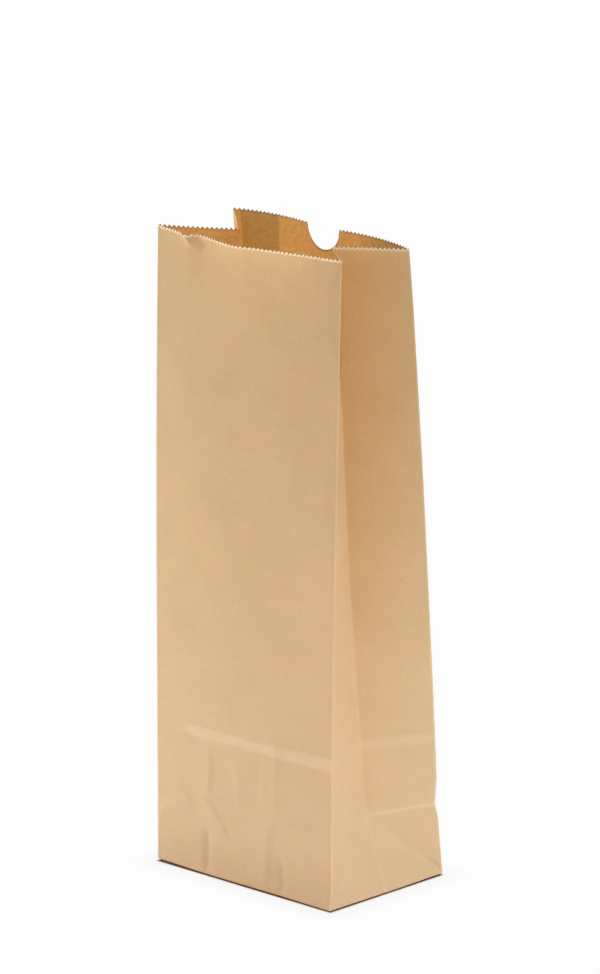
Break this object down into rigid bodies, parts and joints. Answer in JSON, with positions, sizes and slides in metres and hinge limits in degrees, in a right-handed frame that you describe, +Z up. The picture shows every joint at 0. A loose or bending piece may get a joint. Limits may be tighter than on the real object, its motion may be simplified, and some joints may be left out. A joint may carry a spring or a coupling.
{
  "type": "paper lunch bag",
  "caption": "Tall brown paper lunch bag standing open, with a flat folded base, tucked-in sides, a saw-cut mouth and a thumb notch.",
  "frame": {"origin": "middle of the base rectangle, on its underside, where the bag stands", "axes": "+Z up towards the mouth, +X to the right along the front panel, -Y towards the front"},
  "size_m": [0.1264, 0.0803, 0.3299],
  "materials": {
    "brown_paper": "plain unbleached brown paper, matte, with faint fibres"
  },
  "bodies": {
    "root": {"paper_bag": "brown_paper"}
  },
  "joints": []
}
